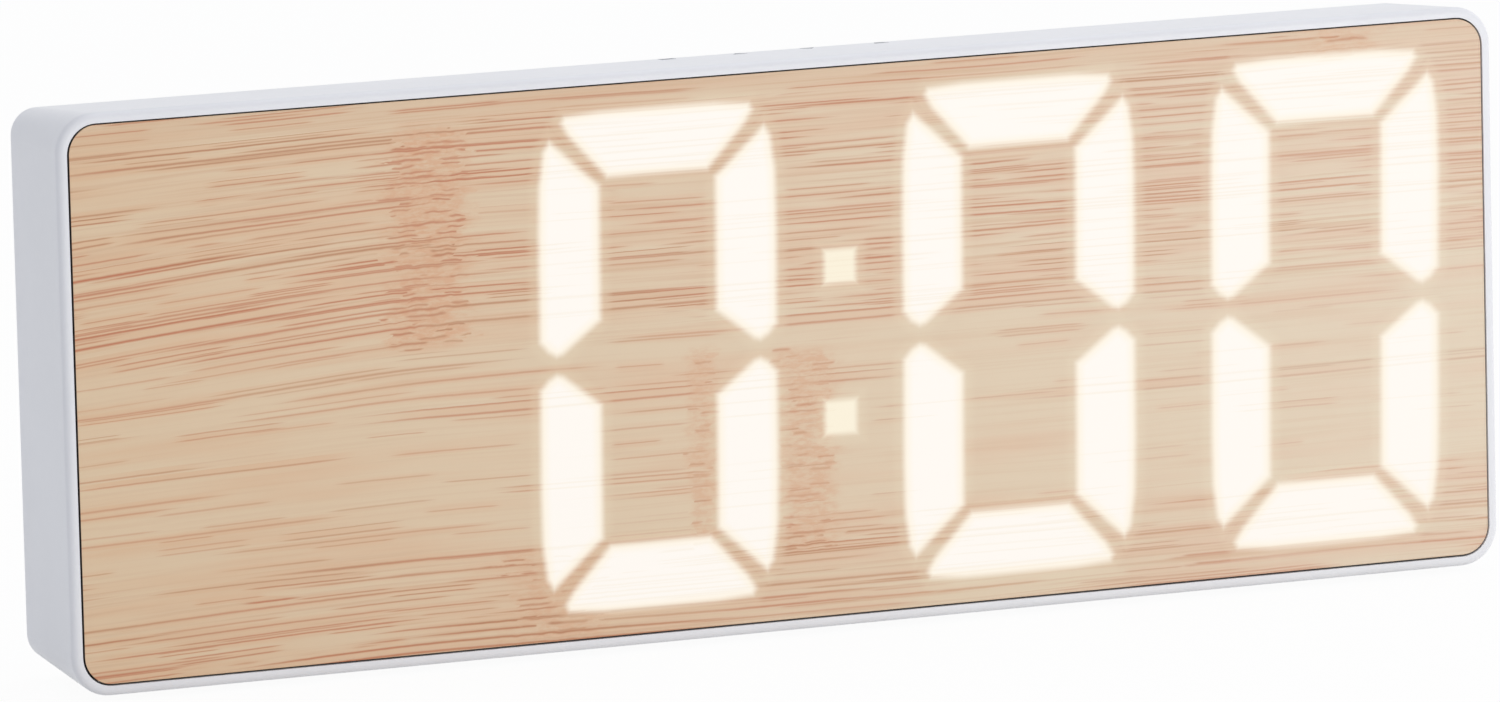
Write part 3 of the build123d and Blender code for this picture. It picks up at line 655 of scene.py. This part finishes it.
lines = []
stains = []
for seed, cell, pitch, width, where, share, line_strength, stain_strength in LAYERS:
    line, stain = dashes(film, film_x, bent, seed, cell, pitch, width, where * share)
    lines.append(line * line_strength)
    stains.append(stain * stain_strength)
grain = highest(lines)
stained = highest(stains)
print("layers of dashes:", len(LAYERS))

# %% [markdown]
# The ground under the dashes is pale, with broad bands that turn pinkish, fine fibres too faint to count, and
# the knots' mottled stain. Towards the right the ground is painted paler and calmer, a painted sheen for the
# glare of the light on that side, so its two ends have colours of their own and a plain ramp leads from one
# to the other.

# %% The ground
LEFT_END = -78.0
RIGHT_END = 70.0
# The right end's colours are paler: a painted sheen.
GROUND_LEFT = (paint("E1C8A6"), paint("DFBC97"))
GROUND_WITH_SHEEN = (paint("E4D3B9"), paint("E3C9AF"))
GROUND_FIBRE = paint("D6B290")
KNOT_STAIN = paint("DAA883")
PINK_RANGE = (0.34, 0.74)
FIBRES_SHOW = 0.6        # how strong the fine fibres are, and how much weaker in the middle strip
MIDDLE_HIDES = 0.4
CLEAR_SHADE = 0.3

specks = streaks(film_z, layer=3.0, stretch=3.0, size=0.5, detail=3.0, roughness=0.65)
fibres = streaks(bent, layer=6.0, stretch=90.0, size=0.4, roughness=0.6)
bands = streaks(bent, layer=0.0, stretch=14.0, size=2.6, detail=3.0)
pink = film.ramp(bands + knots * 0.15 + stained * 0.25 - middle_strip * 0.08, *PINK_RANGE)
# Painted sheen: the ground turns paler towards the right, where the light glares.
sheen_to_right = film.ramp(film_x, LEFT_END, RIGHT_END, smooth=False)
ground = film.blend(sheen_to_right, film.blend(pink, *GROUND_LEFT), film.blend(pink, *GROUND_WITH_SHEEN))
fine_fibres = film.ramp(fibres, 0.45, 0.7) * (FIBRES_SHOW - middle_strip * MIDDLE_HIDES)
ground = film.blend(fine_fibres, ground, GROUND_FIBRE)
ground = film.blend(clear * CLEAR_SHADE, ground, GROUND_FIBRE)
ground = film.blend(knots * film.ramp(specks, 0.38, 0.62, 0.15, 0.75), ground, KNOT_STAIN)
print("nodes up to the ground:", len(film.nodes))

# %% [markdown]
# The film carries wood and light in one finish, because the real one has no windows. Where a segment is lit
# its edge is soft, since the light spreads on its way through, and a faint halo lies round it.

# %% Lit places and their halo
LIGHT_FADE = 0.5
HALO_EDGE = -1.0         # outside the lit shape
HALO_FADE = 0.6

segment, dot = light_depths(film_x, rise)
light_depth = highest([segment, dot])
lit = film.above(light_depth, 0.0, LIGHT_FADE)
halo = film.above(light_depth, HALO_EDGE, HALO_FADE) * (1 - lit)
print("nodes up to the light:", len(film.nodes))

# %% [markdown]
# The dashes are printed brown in some patches and reddish in others. They lose contrast to the right, in the
# middle strip, and in the halo, where light comes through the ground beside them.

# %% Wood colour
DASH_BROWN = paint("BA7F58")
DASH_RED = paint("C37A57")
CONTRAST_RIGHT = 0.58
CONTRAST_FADES = (-25.0, 60.0)
MIDDLE_FADES = 0.35
HALO_FADES = 0.6

bark = film.blend(film.ramp(patches, 0.35, 0.55), DASH_BROWN, DASH_RED)
rightward_contrast = film.ramp(film_x - rise, *CONTRAST_FADES, 1.0, CONTRAST_RIGHT)
contrast = rightward_contrast * (1 - middle_strip * MIDDLE_FADES)
wood = film.blend(grain * contrast * (1 - halo * HALO_FADES), ground, bark)
print("dashes keep", CONTRAST_RIGHT, "of their contrast on the right")

# %% [markdown]
# At the left end a thin dark line of painted shade lies along the film's cut edge, where the edge is in
# shadow. It follows the panel's outline, whose distance is known along the straight sides and round the
# corners, so no edge has to be modelled or marked.

# %% Painted shade at the cut edge
PANEL_CORNER = 2.95
EDGE_PAINTED_SHADE = paint("3A302A")
PAINTED_SHADE_FROM = -76.5
PAINTED_SHADE_LINE = (0.07, 0.03)  # how far from the edge the line starts, and where it is full
panel_centre = (film_low.x + film_high.x) / 2
panel_half_width = (film_high.x - film_low.x) / 2
panel_half_height = (film_high.z - film_low.z) / 2

over_x = abs(film_x - panel_centre) - (panel_half_width - PANEL_CORNER)
over_z = abs(rise) - (panel_half_height - PANEL_CORNER)
straight = highest([over_x, over_z]).maths("MINIMUM", 0.0)
out_x = over_x.maths("MAXIMUM", 0.0)
out_z = over_z.maths("MAXIMUM", 0.0)
around = (out_x * out_x + out_z * out_z).maths("SQRT")
edge_distance = PANEL_CORNER - around - straight
# A thin line of painted shade along the film's left end.
left_painted_shade = film.ramp(edge_distance, *PAINTED_SHADE_LINE) * film.ramp(film_x, PAINTED_SHADE_FROM, LEFT_END)
wood = film.blend(left_painted_shade, wood, EDGE_PAINTED_SHADE)
print(f"the edge is {panel_half_width:.2f} mm from the panel's centre")

# %% [markdown]
# Where the film is lit, a dark colour takes the wood's place, as when a lamp behind outshines the print, and
# the emission takes over. It is whitest at a segment's heart and yellower at its edge and in the colon's
# dots, and the dashes still show in it as a faint veil.

# %% Light and the film's finish
LIGHT_HEART = paint("F5F0EA")
LIGHT_EDGE = paint("F5ECDC")
LIGHT_DOT = paint("F1E8D2")
LIGHT_VEILED = paint("EADCC2")
BEHIND_LIGHT = paint("3A352E")
NO_LIGHT = paint("000000")
HALO = paint("28302A")
HEART_DEPTHS = (0.1, 1.3)
VEIL = 0.3
FILM_GLOSS = (0.42, 0.52)
FIBRE_DEPTH = 0.006

light = film.blend(film.ramp(segment, *HEART_DEPTHS), LIGHT_EDGE, LIGHT_HEART)
light = film.blend(film.above(dot, -0.5, 0.1), light, LIGHT_DOT)
light = film.blend(grain * VEIL, light, LIGHT_VEILED)
film.set(Base_Color=film.blend(lit, wood, BEHIND_LIGHT))
unlit = film.blend(halo, NO_LIGHT, HALO)
film.set(Emission_Color=film.blend(lit, unlit, light), Emission_Strength=1.0)
film.set(Roughness=film.ramp(fibres * 0.5 + grain * 0.5, 0.1, 0.7, *FILM_GLOSS), Specular_IOR_Level=0.4)
film.bump(fibres, FIBRE_DEPTH)
finishes["wood_print"] = film.owner
print("wood print nodes:", len(film.nodes))

# %% [markdown]
# A CAD solid keeps its shape and gets a finish in place of its plain colour. The slot names of the packed
# model are the names of the finishes, except where one slot serves two skins: the case is smooth and the
# cover and the battery door are pebbled.

# %% Dress the solids
SPECIAL = {"rear_cover": "white_pebbled", "battery_door": "white_pebbled"}


def dress(node, piece):
    for place in piece.material_slots:
        place.material = finishes[SPECIAL.get(node, place.material.name.split(".")[0])]


for node, piece in frame["nodes"].items():
    dress(node, piece)
print("solids dressed:", len(frame["nodes"]))

# %% [markdown]
# Signs are pad-printed: a film of ink a few hundredths of a millimetre thick. Each is a flat shape given that
# thickness, so that it stays crisp at any distance and is there in the exported mesh. The shapes are made of
# discs, bars, half discs, tapers and rings, each of which one operator or one face gives.

# %% Flat shapes
WELD = 0.001             # corners closer than this are one


def add_disc(mesh, x, y, radius, corners=32, turn=0.0):
    """A filled polygon, or a disc if it has many corners."""
    matrix = Matrix.Translation((x, y, 0)) @ Matrix.Rotation(turn, 4, "Z")
    bmesh.ops.create_circle(mesh, cap_ends=True, segments=corners, radius=radius, matrix=matrix)


def add_bar(mesh, x, y, width, height):
    matrix = Matrix.Translation((x, y, 0)) @ Matrix.Diagonal((width, height, 1, 1))
    bmesh.ops.create_grid(mesh, x_segments=1, y_segments=1, size=0.5, matrix=matrix)


def around_corners(verts):
    """The edges and the faces at some corners, each once and in the same order each run."""
    edges = dict.fromkeys(edge for vert in verts for edge in vert.link_edges)
    faces = dict.fromkeys(face for vert in verts for face in vert.link_faces)
    return list(edges), list(faces)


def add_half_disc(mesh, y, radius, below=False):
    """Half a disc on a level line at this height: its upper half, or the one below the line."""
    matrix = Matrix.Translation((0, y, 0))
    made = bmesh.ops.create_circle(mesh, cap_ends=True, segments=32, radius=radius, matrix=matrix)
    edges, faces = around_corners(made["verts"])
    outward = (0, 1 if below else -1, 0)
    shape = [*made["verts"], *edges, *faces]
    bmesh.ops.bisect_plane(
        mesh, geom=shape, dist=WELD, plane_co=(0, y, 0), plane_no=outward, clear_outer=True)


def add_taper(mesh, high, high_width, low, low_width):
    """A piece between two heights, with a width for each."""
    left = [(-high_width / 2, high), (-low_width / 2, low)]
    right = [(low_width / 2, low), (high_width / 2, high)]
    mesh.faces.new([mesh.verts.new((x, y, 0)) for x, y in left + right])


def add_ring(mesh, x, y, radius, line):
    """A ring whose line has this width, with its radius measured to the line's middle."""
    rims = []
    matrix = Matrix.Translation((x, y, 0))
    for size in (radius - line / 2, radius + line / 2):
        made = bmesh.ops.create_circle(mesh, segments=40, radius=size, matrix=matrix)
        rims += around_corners(made["verts"])[0]
    bmesh.ops.bridge_loops(mesh, edges=rims)


print("flat shapes: disc, bar, half disc, taper and ring")

# %% [markdown]
# A drawing becomes ink in a few steps: double corners are merged, all faces are turned to look out of the
# paper, and an extrusion gives the thickness. It makes the side faces in an order that changes from run to
# run, so edges and faces are sorted, and two runs give the same mesh. The place on the clock goes into the
# mesh itself, so that the object stays at the origin as the solids do.

# %% Ink
INK_THICKNESS = 0.03
SORT_ALONG = Vector((1.0, 7.3, 53.1))  # askew, so that no two parts of a sign are equally far along it


def sort_number(part):
    """The place of an edge or a face in the order of its sign."""
    return sum((vert.co for vert in part.verts), Vector()).dot(SORT_ALONG)


def finish_piece(name, mesh, body, finish):
    """Turns a bmesh in metres into a piece that rides on a body."""
    data = bpy.data.meshes.new(name)
    mesh.to_mesh(data)
    mesh.free()
    data.materials.append(finishes[finish])
    piece = bpy.data.objects.new(name, data)
    bpy.context.scene.collection.objects.link(piece)
    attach(piece, body)


def print_sign(name, draw, matrix, body, finish="grey_ink"):
    """Draws a flat shape, gives it the ink's thickness and lays it on a surface."""
    mesh = bmesh.new()
    draw(mesh)
    bmesh.ops.remove_doubles(mesh, verts=mesh.verts, dist=WELD)
    bmesh.ops.recalc_face_normals(mesh, faces=mesh.faces)
    for face in mesh.faces:
        if face.normal.z < 0:
            face.normal_flip()
    made = bmesh.ops.extrude_face_region(mesh, geom=list(mesh.faces))
    top = [item for item in made["geom"] if isinstance(item, bmesh.types.BMVert)]
    bmesh.ops.translate(mesh, verts=top, vec=(0, 0, INK_THICKNESS))
    bmesh.ops.recalc_face_normals(mesh, faces=mesh.faces)
    mesh.edges.sort(key=sort_number)
    mesh.faces.sort(key=sort_number)
    bmesh.ops.transform(mesh, matrix=matrix, verts=mesh.verts)
    bmesh.ops.scale(mesh, vec=(mm, mm, mm), verts=mesh.verts)
    finish_piece(name, mesh, body, finish)


print(f"ink {INK_THICKNESS} mm thick")

# %% [markdown]
# The shapes are general signs, which need no words: bars for the menu, triangles for up and down, a bell for
# the alarm, a dot and a ring for the lock, a plug for the power. Each is about two millimetres across.

# %% The signs
def draw_menu(mesh):
    for step in (-1, 0, 1):
        add_bar(mesh, 0, step * 0.62, width=2.0, height=0.28)


def draw_up(mesh):
    add_disc(mesh, 0, -0.2, radius=1.15, corners=3)


def draw_down(mesh):
    add_disc(mesh, 0, 0.2, radius=1.15, corners=3, turn=math.pi)


def draw_bell(mesh):
    add_half_disc(mesh, 0.3, radius=0.66)
    add_taper(mesh, high=0.3, high_width=1.32, low=-0.3, low_width=1.4)
    add_taper(mesh, high=-0.3, high_width=1.4, low=-0.62, low_width=2.0)
    add_taper(mesh, high=-0.62, high_width=2.0, low=-0.78, low_width=2.0)
    add_half_disc(mesh, -0.9, radius=0.26, below=True)


def draw_dot(mesh):
    add_disc(mesh, 0, 0, radius=0.55)


def draw_circle(mesh):
    add_ring(mesh, 0, 0, radius=0.55, line=0.24)


def draw_plug(mesh):
    for side in (-1, 1):
        add_bar(mesh, side * 0.34, 0.92, width=0.24, height=0.6)
    add_taper(mesh, high=0.5, high_width=1.32, low=-0.1, low_width=1.32)
    add_half_disc(mesh, -0.1, radius=0.66, below=True)
    add_bar(mesh, 0, -1.13, width=0.26, height=0.5)


KEYS = {"mode": draw_menu, "up": draw_up, "down": draw_down, "alarm": draw_bell}
print("keys with a sign:", ", ".join(KEYS))

# %% [markdown]
# A sign is drawn flat with X to the right and Y up, and a matrix then takes it to its surface. On the back X
# turns round, because someone behind the clock has the clock's right on the left. The top of the case slopes
# down to the back, so its signs are tilted by the same slope.

# %% From the drawing to the clock
SUNK = 0.005             # how far the ink bites into the plastic
CASE_TOP_FRONT = 60.0
CASE_TAPER = 1.4         # how much the top comes down over the case's depth
CASE_DEPTH = 18.0
CAPTION_SCALE = 0.8
case_slope = math.atan(CASE_TAPER / CASE_DEPTH)


def on_back(x, y, z):
    """Takes a flat shape to a plane that faces back, so that it is upright seen from behind."""
    turned = Matrix(((-1, 0, 0, 0), (0, 0, 1, 0), (0, 1, 0, 0), (0, 0, 0, 1)))
    return Matrix.Translation((x, y - SUNK, z)) @ turned


def on_top(x, y):
    """Takes a flat shape to the sloping top of the case, and makes it a little smaller."""
    z = CASE_TOP_FRONT - math.tan(case_slope) * (y - case_low.y) - SUNK
    tilted = Matrix.Translation((x, y, z)) @ Matrix.Rotation(-case_slope, 4, "X")
    return tilted @ Matrix.Scale(CAPTION_SCALE, 4)


print(f"the case's top slopes by {math.degrees(case_slope):.1f} degrees")

# %% [markdown]
# Each key has its sign below it on the back, and the same sign on the top, as a caption that can be seen from
# above. A dot and a ring beside the battery door show where its arrow points when it is locked and when it
# can be taken out. Only the arrow turns with the door.

# %% Lay the signs
SIGN_DROP = 1.9          # from a key's lower edge to its sign
CAPTION_Y = 6.6          # from the middle of the case towards the back
LOCK_MARGIN = 1.5        # from the door's edge to the marks of its lock
ARROW_INSET = 2.2
PLUG_RISE = 3.2          # from the socket's upper edge up to the plug
UNLOCKED = math.radians(45)

cover_back = box_mm("rear_cover")[1].y
for key, draw in KEYS.items():
    low, high = box_mm(key + "_key")
    middle = (low + high) / 2
    print_sign(key + "_sign", draw, on_back(middle.x, cover_back, low.z - SIGN_DROP), "clock_body")
    print_sign(key + "_caption", draw, on_top(middle.x, CAPTION_Y), "clock_body", "pale_ink")

door_low, door_high = box_mm("battery_door")
door_middle = (door_low + door_high) / 2
door_reach = (door_high.z - door_low.z) / 2
lock_reach = door_reach + LOCK_MARGIN
for name, draw, angle in (("locked", draw_dot, 0.0), ("unlocked", draw_circle, UNLOCKED)):
    x = door_middle.x + lock_reach * math.sin(angle)
    z = door_middle.z + lock_reach * math.cos(angle)
    print_sign(name + "_sign", draw, on_back(x, cover_back, z), "clock_body")
arrow_z = door_middle.z + door_reach - ARROW_INSET
print_sign("door_arrow", draw_up, on_back(door_middle.x, door_high.y, arrow_z), "door_body")

socket_low, socket_high = box_mm("socket_shell")
socket_middle = (socket_low + socket_high) / 2
plug_place = on_back(socket_middle.x, cover_back, socket_high.z + PLUG_RISE)
print_sign("power_sign", draw_plug, plug_place, "clock_body")
signs = [name for name in bpy.data.objects.keys() if name.endswith(("_sign", "_caption", "_arrow"))]
print("signs printed:", len(signs))

# %% [markdown]
# A reversible socket has twelve contacts on each side of its tongue. They are stamped from strip and lie in
# the plastic, with only their gilded faces showing. Two rows of thin plates with bevelled edges are enough,
# because they are looked at through a slot three millimetres high.

# %% Gilded contacts
contact_count = 12
contact_pitch = 0.5
contact_size = (0.26, 3.4, 0.05)
contact_inset = 0.4      # from the tongue's tip
contact_bevel = 0.015
tongue_thick = 0.7
tongue_high = box_mm("socket_tongue")[1]
strips = bmesh.new()
for side in (-1, 1):
    for i in range(contact_count):
        x = socket_middle.x + (i - (contact_count - 1) / 2) * contact_pitch
        y = tongue_high.y - contact_inset - contact_size[1] / 2
        z = socket_middle.z + side * tongue_thick / 2
        matrix = Matrix.Translation((x, y, z)) @ Matrix.Diagonal((*contact_size, 1))
        bmesh.ops.create_cube(strips, size=1.0, matrix=matrix)
bmesh.ops.bevel(
    strips, geom=strips.edges[:], offset=contact_bevel, segments=1, profile=0.5, affect="EDGES", material=-1)
bmesh.ops.scale(strips, vec=(mm, mm, mm), verts=strips.verts)
finish_piece("socket_contacts", strips, "clock_body", "contact_gold")
print("contacts:", 2 * contact_count)

# %% [markdown]
# The floor is pale and stretches out of sight. The camera sees it as nearly plain white, because its own
# colour is mixed with white light for rays that come from the camera, and the little that is left still takes
# a faint shadow. Rays that come by way of gloss or glass get the same, so that shiny pieces reflect white.

# %% Floor
PLAIN_SIGHT = ("Is Camera Ray", "Is Glossy Ray", "Is Transmission Ray")
FLOOR_RADIUS = 6.0       # in metres
FLOOR_PLAIN = 0.95       # the share of plain white in what the camera sees
FLOOR_GREY = (0.93, 0.93, 0.92, 1.0)
PLAIN_WHITE = (1.0, 1.0, 1.0, 1.0)


def plain_sight(graph):
    """1 for a ray that brings what the camera sees, and 0 for one that lights the clock."""
    return highest([graph.node("ShaderNodeLightPath", output=ray) for ray in PLAIN_SIGHT])


paper = new_finish("white_floor")
paper.set(Base_Color=FLOOR_GREY, Roughness=0.9, Specular_IOR_Level=0.0)
glowing = paper.node("ShaderNodeEmission", None, {"Color": PLAIN_WHITE, "Strength": 1.0})
lit_paper = Signal(paper, paper.shader.outputs[0])
shown = {0: plain_sight(paper) * FLOOR_PLAIN, 1: lit_paper, 2: glowing}
paper.feed(paper.surface, paper.node("ShaderNodeMixShader", None, shown))

floor_mesh = bmesh.new()
bmesh.ops.create_circle(floor_mesh, cap_ends=True, segments=64, radius=FLOOR_RADIUS)
floor_data = bpy.data.meshes.new("floor")
floor_mesh.to_mesh(floor_data)
floor_mesh.free()
floor_data.materials.append(paper.owner)
floor = bpy.data.objects.new("floor", floor_data)
bpy.context.scene.collection.objects.link(floor)
print("floor laid,", 2 * FLOOR_RADIUS, "m across")

# %% [markdown]
# In a white tent, light comes from all sides and a little more from one. The world gives such light without
# any walls: it is brighter to the right, and dimmer and bluer to the left. What the camera sees behind the
# clock is plain white all the same, by the same rays as on the floor.

# %% World
TENT_RIGHT = 0.4         # how much brighter towards the right, the back and the ground
TENT_BACK = 0.075
TENT_DOWN = 0.08
DIM_SIDE = {"Color": (0.82, 0.86, 1.0, 1.0), "Strength": 0.475}
BRIGHT_SIDE = {"Color": (0.98, 0.98, 1.0, 1.0), "Strength": 1.2}

world = bpy.data.worlds.new("studio")
bpy.context.scene.world = world
sky = Graph(world, "Background", "World Output")
direction = sky.node("ShaderNodeTexCoord", output="Generated")
sideways, backwards, upwards = (sky.axis(direction, letter) for letter in "XYZ")
brightness = sideways * TENT_RIGHT + backwards * TENT_BACK - upwards * TENT_DOWN + 0.5
dim = sky.node("ShaderNodeBackground", None, DIM_SIDE)
bright = sky.node("ShaderNodeBackground", None, BRIGHT_SIDE)
tent = sky.node("ShaderNodeMixShader", None, {0: brightness, 1: dim, 2: bright})
backdrop = sky.node("ShaderNodeBackground", None, {"Color": PLAIN_WHITE, "Strength": 1.0})
shown = {0: plain_sight(sky), 1: tent, 2: backdrop}
sky.feed(sky.surface, sky.node("ShaderNodeMixShader", None, shown))
print("world nodes:", len(sky.nodes))

# %% [markdown]
# A soft lamp stands to the right of the front, close enough for its light to fade across the clock, which
# makes the front brighter on that side. A weaker one above the right end lifts the top of the case.

# %% Lamps
def soft_lamp(name, place, target, size, watts, colour):
    """A lamp with a flat window of this size, in metres, that looks at its target."""
    lamp = bpy.data.lights.new(name, "AREA")
    lamp.shape = "RECTANGLE"
    lamp.size, lamp.size_y = size
    lamp.energy = watts
    lamp.color = colour
    holder = bpy.data.objects.new(name, lamp)
    bpy.context.scene.collection.objects.link(holder)
    aim = Vector(target) - Vector(place)
    holder.location = place
    holder.rotation_euler = aim.to_track_quat("-Z", "Y").to_euler()


LAMPS = {
    "front_lamp": dict(
        place=(0.24, -0.42, 0.04),
        target=(0.04, 0.0, 0.03),
        size=(0.3, 0.1),
        watts=0.528,
        colour=(1.0, 0.975, 0.94),
    ),
    "top_lamp": dict(
        place=(0.09, 0.06, 0.27),
        target=(0.05, 0.0, 0.06),
        size=(0.15, 0.15),
        watts=0.078,
        colour=(1.0, 0.98, 1.0),
    ),
}
for name, facts in LAMPS.items():
    soft_lamp(name, **facts)
print("soft lamps:", len(LAMPS))

# %% [markdown]
# The photograph was taken from the front left and a little above, with a long lens. The camera's turn, pitch
# and roll were found by laying the outline of the case and the hairline round the front over the photograph.

# %% Camera
PHOTO_WIDTH = 1500
focal_pixels = 12777.8
turn = math.radians(22.877)
pitch = math.radians(8.516)
roll = math.radians(-1.388)
aim_point = Vector((0.0, -9.3, 30.3))
offset_right, offset_up, distance = 4.8034, 0.5656, 1313.11

ahead = Vector((math.sin(turn) * math.cos(pitch), math.cos(turn) * math.cos(pitch), -math.sin(pitch)))
level = Vector((math.cos(turn), -math.sin(turn), 0.0))
upward = level.cross(ahead)
right = level * math.cos(roll) + upward * math.sin(roll)
top = upward * math.cos(roll) - level * math.sin(roll)
eye = aim_point - right * offset_right - top * offset_up - ahead * distance

camera_data = bpy.data.cameras.new("camera")
camera_data.sensor_width = 36.0
camera_data.lens = focal_pixels / PHOTO_WIDTH * camera_data.sensor_width
camera_data.clip_start = 0.05
camera_data.clip_end = 30.0
camera = bpy.data.objects.new("camera", camera_data)
bpy.context.scene.collection.objects.link(camera)
camera.matrix_world = Matrix.Translation(eye * mm) @ Matrix((right, top, -ahead)).transposed().to_4x4()
bpy.context.scene.camera = camera
bpy.context.scene.view_settings.view_transform = "Standard"
print(f"lens {camera_data.lens:.1f} mm, camera {eye.length * mm:.2f} m away")
